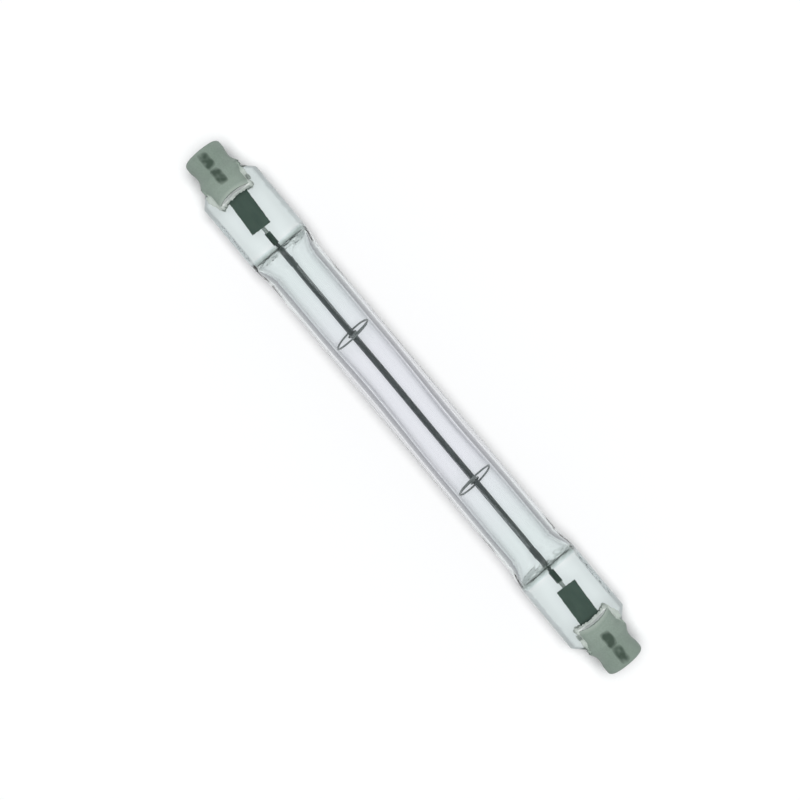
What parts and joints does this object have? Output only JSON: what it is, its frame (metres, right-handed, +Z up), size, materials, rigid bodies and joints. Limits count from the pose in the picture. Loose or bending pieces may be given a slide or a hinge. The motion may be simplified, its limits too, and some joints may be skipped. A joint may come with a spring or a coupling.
{
  "type": "linear halogen bulb",
  "caption": "Double-ended linear halogen bulb: clear quartz tube with flat foil seals, an axial filament on wire supports and ceramic caps with recessed contacts.",
  "frame": {"origin": "middle of the lamp, on the tube's axis", "axes": "+X along the lamp, +Y across the flat seals' width, +Z up, about square to the flat seals"},
  "size_m": [0.1176, 0.0122, 0.0112],
  "materials": {
    "quartz": "clear fused quartz",
    "tungsten": "drawn wire, dark grey",
    "molybdenum": "dull rolled metal",
    "steatite": "unglazed, grey-green",
    "cement": "coarse and matt",
    "nickel": "satin"
  },
  "bodies": {
    "root": {"envelope": "quartz", "filament": "tungsten", "left_cap": "steatite", "left_contact": "nickel", "left_cement": "cement", "left_outer_lead": "molybdenum", "left_foil": "molybdenum", "left_lead_sleeve": "tungsten", "left_inner_lead": "molybdenum", "left_support": "tungsten", "right_cap": "steatite", "right_contact": "nickel", "right_cement": "cement", "right_outer_lead": "molybdenum", "right_foil": "molybdenum", "right_lead_sleeve": "tungsten", "right_inner_lead": "molybdenum", "right_support": "tungsten"}
  },
  "joints": []
}
